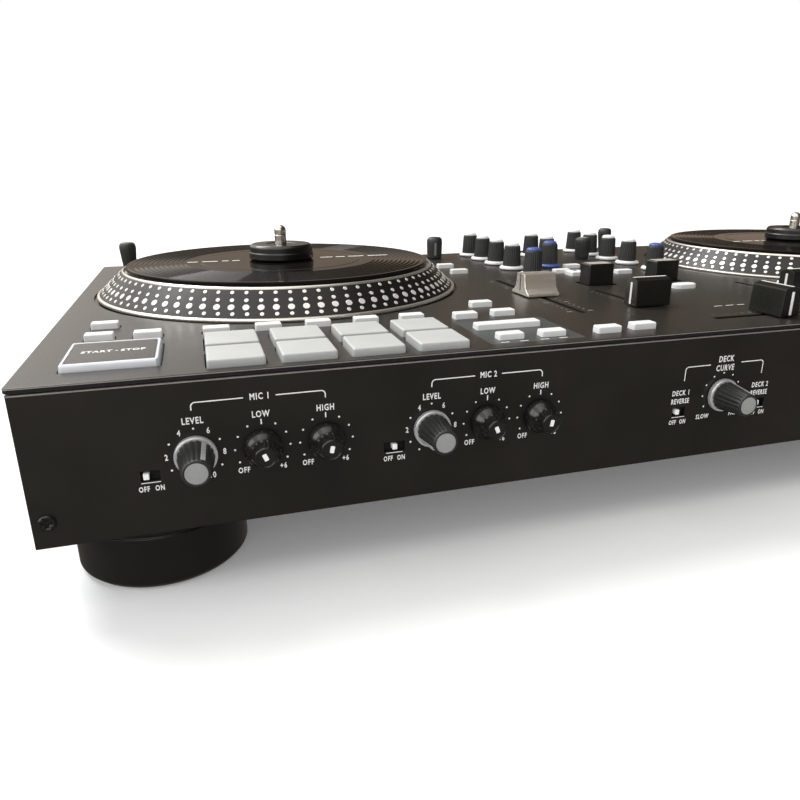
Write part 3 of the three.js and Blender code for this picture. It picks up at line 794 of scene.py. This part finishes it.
def rear_knobs():
    """Encoders that flare a little towards their tops; the second has a light stripe to the front, a painted
    highlight.
    """
    for side, shift in DECKS:
        for number, (at, foot, crown, height) in enumerate(REAR_KNOBS, 1):
            bm = bmesh.new()
            profile = [(0, 0.3), (foot, 0.3), (foot + 0.2, 1.4), (crown, height - 4.6),
                       (crown - 0.2, height - 2), (crown - 1.4, height - 0.4), (0, height)]
            turned(bm, fillet(profile, 0.8), 120, flutes=fluted(22, 0.22, 4.5))
            if number == 2:
                # Painted highlight: a light stripe down the front of the second encoder.
                place = moved(-1.2, -5.95, 8) @ spun(math.pi / 2 + 0.03, "X")
                slab(bm, [rounded(1.5, 10, 0.5, steps=2)], [(-0.4, 0), (0.1, 0)], 1, place)
            piece(f"deck_{side}_rear_knob_{number}", bm, "casing", [KNOB, KNOB_END],
                  (*deck(*at, shift), TOP))


def browse_knob():
    bm = bmesh.new()
    profile = [(0, 0.3), (5.2, 0.3), (5.4, 1.4), (6.2, 13), (6, 15.6), (4.8, 16.8), (0, 17)]
    turned(bm, fillet(profile, 0.8), 160, flutes=fluted(24, 0.25, 5.3))
    turned(bm, fillet([(0, 16.6), (3.6, 16.6), (3.6, 17), (3.2, 17.1), (0, 17.1)], 0.2), 48, 1)
    piece("browse_knob", bm, "casing", [KNOB, KNOB_END], (*deck(*BROWSE_AT), TOP))


LEVEL_NODES = ("mic_1_level_knob", "mic_2_level_knob", "contour_knob")
TONE_NODES = ("mic_1_low_knob", "mic_1_high_knob", "mic_2_low_knob", "mic_2_high_knob")
LEVEL_POINTERS = {"mic_2_level_knob": 115}
LEVEL_POINTER, LOW_POINTER, HIGH_POINTER = -30, 22, -12


def front_knob(node, bm, materials):
    low, high = corners(node)
    at = ((low.x + high.x) / 2, PANEL, (low.z + high.z) / 2)
    piece(node + "_moulded", bm, node.removesuffix("_knob"), materials, at, (node,))


def front_knobs():
    for node in LEVEL_NODES:
        reach = PANEL - corners(node)[0].y
        bm = bmesh.new()
        turned(bm, fillet([(0, 0.4), (8, 0.4), (8, 2.4), (7.5, 2.9), (0, 2.9)], 0.4), 72, 1, FORWARD)
        body = [(0, 2.8), (7, 2.8), (6.9, 4), (5.4, reach - 1), (5, reach - 0.2), (4.4, reach),
                (4.15, reach - 0.3), (0, reach - 0.3)]
        turned(bm, fillet(body, 0.4), 144, 0, FORWARD, fluted(18, 0.38, 5.25))
        end = [(0, reach - 0.6), (4.15, reach - 0.6), (4.15, reach - 0.2), (3.8, reach - 0.05),
               (0, reach - 0.05)]
        turned(bm, fillet(end, 0.2), 56, 2, FORWARD)
        lean = math.atan2(1.5, reach - 5)
        pointer = math.radians(LEVEL_POINTERS.get(node, LEVEL_POINTER))
        spin = FORWARD @ spun(pointer, "Z")
        side = spin @ moved(0, 6.12, reach / 2 + 1) @ spun(-math.pi / 2 + lean, "X")
        slab(bm, [rounded(1.7, reach - 4.6, 0.4, steps=2)], [(-0.5, 0), (0.15, 0), (0.3, 0.2)], 1, side)
        front_knob(node, bm, [KNOB, COLLAR, KNOB_END])
    for node in TONE_NODES:
        reach = PANEL - corners(node)[0].y
        bm = bmesh.new()
        profile = [(0, 0.4), (7.7, 0.4), (7.6, 2.4), (7.1, 3.8), (5.7, 5.6), (5.05, 7), (4.5, reach - 1.2),
                   (4.2, reach - 0.3), (3.6, reach - 0.1), (3.4, reach - 0.4), (0, reach - 0.3)]
        turned(bm, fillet(profile, 0.7), 144, 0, FORWARD, fluted(16, 0.34, 4.35, 5.2))
        pointer = math.radians(LOW_POINTER if "low" in node else HIGH_POINTER)
        spin = FORWARD @ spun(pointer, "Z")
        dash(bm, 0, 0.4, 1.7, 2.9, spin @ moved(0, 0, reach - 0.32), 1)
        front_knob(node, bm, [GLOSS_KNOB, WHITE])


# ---- prints ----
DIAL_DROP, DIAL_REACH = 29.4, 10.6
ON_PANEL = moved(LEFT, PANEL, TRAY_TOP) @ FORWARD
ON_FACE = moved(LEFT, FRONT, TOP)


def dial_scale(bm, x, kind):
    """Marks round a dial: numbers and dots, dots either side of an upright tick, or dots alone."""
    for step in range(11):
        angle = math.radians(240 - 30 * step)
        spot = x + DIAL_REACH * math.cos(angle), -DIAL_DROP + DIAL_REACH * math.sin(angle)
        if kind == "numbers" and step % 2 == 0 and step:
            words(bm, str(step), *spot, 2.4, ON_PANEL)
        elif kind == "tick" and step == 5:
            dash(bm, x, -DIAL_DROP + DIAL_REACH, 0.5, 2.2, ON_PANEL)
        elif kind == "numbers" or step not in (0, 10):
            mark(bm, circle(0.42, 10, *spot), ON_PANEL)


def bracket(bm, start, stop, drop, gap_from, gap_to, hang):
    """A line over a group of dials, broken for its name and bent down at both ends."""
    corner = 1.6
    for end, gap, way in ((start, gap_from, 1), (stop, gap_to, -1)):
        arc = [(end + way * corner * (1 - math.cos(a)), -drop - corner * (1 - math.sin(a)))
               for a in (i * math.pi / 12 for i in range(7))]
        line(bm, [(end, -drop - hang), *arc, (gap, -drop)], 0.42, ON_PANEL)


MIC_GROUPS = ((60, "MIC 1"), (154.2, "MIC 2"))
TONE_PITCH, GROUP_WIDTH = 25, 50.2
CURVE_AT, CURVE_GROUP = 300.8, (278.7, 323)
GROUP_DROP, NAME_DROP, ENDS_DROP, SWITCH_DROP = 8.6, 15.8, DIAL_DROP + 8.9, 35.9
NAME, SMALL = 2.6, 2.3
SWITCHES = ((43, 7, -1), (138, 9, 0), (277.7, 7, -1), (323.9, 7, -1))


def panel_prints():
    bm = bmesh.new()

    def label(text, across, drop, height=NAME, squeeze=SQUEEZE):
        words(bm, text, across, -drop, height, ON_PANEL, squeeze)

    for x, _ in MIC_GROUPS:
        dial_scale(bm, x, "numbers")
        label("LEVEL", x, NAME_DROP)
        for name, at in (("LOW", x + TONE_PITCH), ("HIGH", x + 2 * TONE_PITCH)):
            dial_scale(bm, at, "tick")
            label(name, at, NAME_DROP)
            label("OFF", at - 7.8, ENDS_DROP, SMALL)
            label("+6", at + 7.4, ENDS_DROP, SMALL)
    for x, name in MIC_GROUPS:
        bracket(bm, x, x + GROUP_WIDTH, GROUP_DROP, x + 19, x + 31.2, 3)
        label(name, x + GROUP_WIDTH / 2, GROUP_DROP)
    dial_scale(bm, CURVE_AT, "dots")
    bracket(bm, *CURVE_GROUP, 14.2, 292.4, 310, 6.6)
    label("DECK", 301, 12, 2.9)
    label("CURVE", 301, 16.4, 2.9)
    label("SLOW", 291.7, 39.9, SMALL)
    label("FAST", 310, 39.9, SMALL)
    for x, number in ((277.8, 1), (323.4, 2)):
        label(f"DECK {number}", x, 26.7, 2.5)
        label("REVERSE", x, 30.8, 2.5, 0.66)
    for x, _, _ in SWITCHES:
        label("OFF", x - 2.7, 41.2, 2.2, 0.66)
        label("ON", x + 2.9, 41.2, 2.2, 0.66)
        dash(bm, x, -38.6, 7, 0.3, ON_PANEL)
    piece("panel_scales", bm, "casing", WHITE)


AREA_SIZE, AREA_AT = (45, 44), (205.5, 28)
DIVIDERS = (276.5, 411)
LOOP_DASHES, MIXER_DASHES = (190, 199, 209, 218), (333, 340.5, 348)
KNOB_DOTS = 9.9


def fader_scale(bm, x, y, travel, steps, gap, fine, depth):
    """Rows of dashes either side of a fader slot, longer at every fifth."""
    for step in range(-steps, steps + 1):
        width = 3 if step % 5 == 0 else fine
        for way in (-1, 1):
            dash(bm, x + way * (gap + width / 2), y + step * travel / (2 * steps), width, depth, ON_FACE, 3)


def face_prints():
    bm = bmesh.new()
    for _, shift in DECKS:
        slab(bm, [rounded(*AREA_SIZE, 1.5, AREA_AT[0] + shift, AREA_AT[1])], [(0, 0), (0.03, 0)], 1, ON_FACE)
        fader_scale(bm, PITCH_AT[0] + shift, PITCH_AT[1], PITCH_TRAVEL, 10, gap=4.6, fine=1, depth=1.2)
    for x, y in LINE_AT:
        fader_scale(bm, x, y, LINE_TRAVEL, 5, gap=4.4, fine=1.8, depth=0.4)
    for step in range(-5, 6):
        depth = 2.6 if step % 5 == 0 else 1.5
        dash(bm, CROSS_AT[0] + step * CROSS_TRAVEL / 10, CROSS_AT[1] + 6.4, 0.4, depth, ON_FACE, 3)
    for x in DIVIDERS:
        line(bm, [(x, 3), (x, 60)], 0.35, ON_FACE, 2)
    for _, shift in DECKS:
        for x in LOOP_DASHES:
            dash(bm, x + shift, 8.4, 4, 0.7, ON_FACE)
    for x in MIXER_DASHES:
        dash(bm, x, 46.5, 5, 0.7, ON_FACE)
    for node in DECK_KNOBS:
        x, y = middle(node)
        for step in range(11):
            angle = math.radians(240 - 30 * step)
            spot = (x - LEFT + KNOB_DOTS * math.cos(angle), y - FRONT + KNOB_DOTS * math.sin(angle))
            mark(bm, circle(0.28, 8, *spot), ON_FACE)
    piece("deck_face_prints", bm, "casing", [WHITE, AREA_PAINT, DARK_AND_SHADE, DIM_INK])


# ---- switches and screws ----
def switches():
    bm = bmesh.new()
    for x, width, side in SWITCHES:
        recess = rounded(width + 0.6, 4.6, 0.4, x, -SWITCH_DROP, 2)
        lever = rounded(2.1, 2.4, 0.3, x + side * 1.4, -SWITCH_DROP + 0.2, 2)
        slab(bm, [recess], [(-2.6, 0), (-2.2, 0)], 0, ON_PANEL)
        slab(bm, [lever], [(-2.4, 0), (0.9, 0), (1.15, 0.25)], 1, ON_PANEL)
    piece("panel_switches", bm, "casing", [DARK_AND_SHADE, KEY])


SCREW_RADIUS, SCREW_IN, SCREW_DROP = 3.2, 5.9, 49.5


def cross(arm, width):
    a, b = arm / 2, width / 2
    return [Vector(point) for point in (
        (a, b), (b, b), (b, a), (-b, a), (-b, b), (-a, b),
        (-a, -b), (-b, -b), (-b, -a), (b, -a), (b, -b), (a, -b))]


def screw(bm, place):
    slab(bm, [circle(SCREW_RADIUS, 40), hole(cross(SCREW_RADIUS * 1.1, SCREW_RADIUS * 0.3))],
         [(0, 0), (0.5, 0), (1.0, 0.35), (1.25, 0.9)], 0, place)
    # Painted shade: a black disc under the cross recess darkens it.
    slab(bm, [circle(SCREW_RADIUS * 0.7, 20)], [(0, 0), (0.35, 0)], 1, place)


def screws():
    bm = bmesh.new()
    height = TRAY_TOP - SCREW_DROP
    for x in (SCREW_IN, WIDTH - SCREW_IN):
        screw(bm, ON_PANEL @ moved(x, -SCREW_DROP, 0))
        screw(bm, moved(LEFT + x, REAR, height) @ REARWARD)
    for x, turn in ((tray_low.x, -1), (tray_high.x, 1)):
        facing = spun(turn * math.pi / 2, "Z") @ FORWARD
        for back in (30, DEPTH / 2, DEPTH - 30):
            screw(bm, moved(x - turn * 0.8, FRONT + back, height) @ facing)
    piece("case_screws", bm, "casing", [CAP, DARK_AND_SHADE])


# ---- rear sockets ----
LINE_DROP, LINE_PITCH, LINE_CENTRE, MIC_CENTRE, USB_CENTRE = 34, 23, 425, 560, 150
LINE_JACKS = [(LINE_CENTRE + (column - 2.5) * LINE_PITCH, LINE_DROP + row)
              for column in range(6) for row in (-8, 8)]
MIC_JACKS = [(MIC_CENTRE + side, LINE_DROP) for side in (-16, 16)]
USB_SOCKETS = [(USB_CENTRE + side, 36) for side in (-12, 12)]
INLET_AT = (70, 36)


def on_rear(across, drop):
    return moved(LEFT + across, REAR, TRAY_TOP - drop) @ REARWARD


def sockets():
    bm = bmesh.new()
    for across, drop in LINE_JACKS:
        place = on_rear(across, drop)
        shell = [(1.8, 1.8), (6, 1.8), (6, 2.6), (4.3, 3), (4.3, 8.6), (3.9, 9), (3.3, 9), (3.3, 8.5),
                 (1.8, 8.5)]
        turned(bm, fillet(shell, 0.2, 2, True), 32, 0, place)
        ring = [(1.85, 8.2), (3.35, 8.2), (3.3, 8.85), (1.85, 8.85)]
        turned(bm, ring, 32, 1 if drop < LINE_DROP else 2, place)
    for across, drop in MIC_JACKS:
        place = on_rear(across, drop)
        slab(bm, [circle(6.6, 6), hole(circle(3.4, 24))], [(1.8, 0), (3.2, 0), (3.6, 0.4)], 0, place)
        turned(bm, [(3.25, 1.6), (4.6, 1.6), (4.6, 5), (3.9, 5.4), (3.25, 5)], 32, 0, place)
    for across, drop in USB_SOCKETS:
        slab(bm, [rounded(5.6, 1.9, 0.2, 0, 1.2, 2)], [(-8.6, 0), (0.8, 0)], 2, on_rear(across, drop))
    for x, y in ((-7, -2), (0, 2.4), (7, -2)):
        slab(bm, [rounded(2, 4, 0.3, x, y, 2)], [(-9.4, 0), (-1, 0)], 0, on_rear(*INLET_AT))
    piece("rear_contacts", bm, "casing", [CONTACT, RED, KEY])

    bm = bmesh.new()
    names = ((USB_CENTRE, "USB"), (LINE_CENTRE, "LINE"), (MIC_CENTRE, "MIC"), (INLET_AT[0], "POWER"))
    for across, name in names:
        words(bm, name, 0, 0, 3, on_rear(across, 9))
    piece("rear_labels", bm, "casing", WHITE)


# ---- the whole object ----
top_plate()
slot_linings()
feet()
for deck_side, deck_shift in DECKS:
    platter(deck_side)
    disc(deck_side)
    puck_and_spindle(deck_side)
    start_button(deck_side)
    pads_and_keys(deck_side, deck_shift)
    pitch_cap(deck_side)
mixer_keys()
for number in (1, 2):
    black_cap(f"line_fader_cap_{number}", f"line_fader_{number}", False)
black_cap("crossfader_cap", "crossfader", True)
paddle(1)
paddle(2)
deck_knobs()
rear_knobs()
browse_knob()
front_knobs()
panel_prints()
face_prints()
switches()
screws()
sockets()
carry("bottom_tray", PANEL_PAINT, 0.8)
carry("main_board", BOARD, 0.2)
carry("power_supply", CAN)
for deck_side, _ in DECKS:
    carry("deck_motor_" + deck_side, MOTOR)
    carry("pitch_fader_unit_" + deck_side, CAN)
carry("mixer_fader_frame", CAN)
carry("power_inlet", SOCKET)
carry("usb_block", CONTACT)
carry("line_jack_block", SOCKET)
carry("mic_jack_block", SOCKET)


# ---- floor, light and sky ----
def mixed(tree, factor, first, second):
    return add_node(tree, "MixShader", {0: factor, 1: first.outputs[0], 2: second.outputs[0]})


def stage_floor():
    """A pale floor that runs out into the white background, and looks dim in reflections."""
    mesh = bpy.data.meshes.new("floor")
    reach = 8.0
    edge = [(-reach, -reach, 0), (reach, -reach, 0), (reach, reach, 0), (-reach, reach, 0)]
    mesh.from_pydata(edge, [], [(0, 1, 2, 3)])
    floor = bpy.data.objects.new("floor", mesh)
    link(floor)
    material = surface("floor", (0.86, 0.86, 0.86), 0.9, shade=0.01, patch=400, grain=4, bump=0.0,
                       Specular_IOR_Level=0.0)
    tree = material.node_tree
    glow = add_node(tree, "Emission", {"Strength": 0.13})
    lit = add_node(tree, "AddShader", {0: tree.nodes["Principled BSDF"].outputs[0], 1: glow.outputs[0]})
    dim = add_node(tree, "Emission", {"Color": (0.16, 0.145, 0.13, 1)})
    path = add_node(tree, "LightPath", {})
    pick = mixed(tree, path.outputs["Is Glossy Ray"], lit, dim)
    tree.links.new(pick.outputs[0], tree.nodes["Material Output"].inputs["Surface"])
    mesh.materials.append(material)


def lamp(name, kind, power, direction, colour=(1, 1, 1)):
    data = bpy.data.lights.new(name, kind)
    data.energy = power
    data.color = colour
    light = bpy.data.objects.new(name, data)
    light.rotation_euler = Vector(direction).to_track_quat("-Z", "Y").to_euler()
    link(light)
    return light


def area_light(name, at, aim, size, power, colour=(1, 1, 1)):
    light = lamp(name, "AREA", power, Vector(aim) - Vector(at), colour)
    light.location = at
    light.data.shape = "RECTANGLE"
    light.data.size, light.data.size_y = size


ROOM_STOPS = ((0, (1.6, 1.53, 1.44)), (0.3, (0.75, 0.71, 0.66)), (0.47, (0.42, 0.39, 0.355)),
              (0.66, (0.16, 0.125, 0.085)), (1, (0.06, 0.047, 0.03)))


def sky():
    """Even white light. In reflections it is a room, bright to the left, dim to the right and brown along
    the far wall."""
    world = bpy.data.worlds.new("sky")
    world.use_nodes = True
    scene.world = world
    tree = world.node_tree
    white = (1, 1, 1, 1)
    plain = tree.nodes["Background"]
    plain.inputs["Color"].default_value = white
    plain.inputs["Strength"].default_value = 1.0
    even = add_node(tree, "Background", {"Color": white, "Strength": 0.55})
    wall = add_node(tree, "Background", {"Color": (0.40, 0.31, 0.235, 1)})
    where = add_node(tree, "TexCoord", {})
    split = add_node(tree, "SeparateXYZ", {"Vector": where.outputs["Generated"]})
    across, *far = (
        add_node(tree, "MapRange", {"Value": split.outputs[axis], "From Min": start, "From Max": stop})
        for axis, start, stop in (("X", -0.25, 0.6), ("Z", 0.2, 0.12), ("Y", 0.2, 0.5)))
    at_wall = add_node(tree, "Math", {i: reach.outputs["Result"] for i, reach in enumerate(far)},
                       operation="MULTIPLY")
    shade = add_node(tree, "ValToRGB", {"Fac": across.outputs["Result"]})
    stops = shade.color_ramp.elements
    for stop, (position, colour) in zip(stops, (ROOM_STOPS[0], ROOM_STOPS[-1])):
        stop.position, stop.color = position, (*colour, 1)
    for position, colour in ROOM_STOPS[1:-1]:
        stops.new(position).color = (*colour, 1)
    room = add_node(tree, "Background", {"Color": shade.outputs["Color"]})
    path = add_node(tree, "LightPath", {})
    around = mixed(tree, at_wall.outputs[0], room, wall)
    seen = mixed(tree, path.outputs["Is Glossy Ray"], even, around)
    picked = mixed(tree, path.outputs["Is Camera Ray"], seen, plain)
    tree.links.new(picked.outputs[0], tree.nodes["World Output"].inputs["Surface"])


stage_floor()
sky()
lamp("window_glow", "SUN", 2.4, direction=(0.5, -0.7, -1.05)).data.angle = math.radians(28)
area_light("ceiling", (-0.3, -0.1, 1.9), (0, 0, 0), (2.2, 1.6), power=14, colour=(1, 0.98, 0.95))
area_light("left_window", (-1.9, -0.2, 0.9), (0, 0.1, 0), (1.2, 1.0), power=10, colour=(0.94, 0.97, 1))
area_light("front_fill", (-0.6, -2.0, 1.0), (0, 0, 0.05), (1.6, 0.9), power=4)
scene.view_settings.view_transform = "Standard"
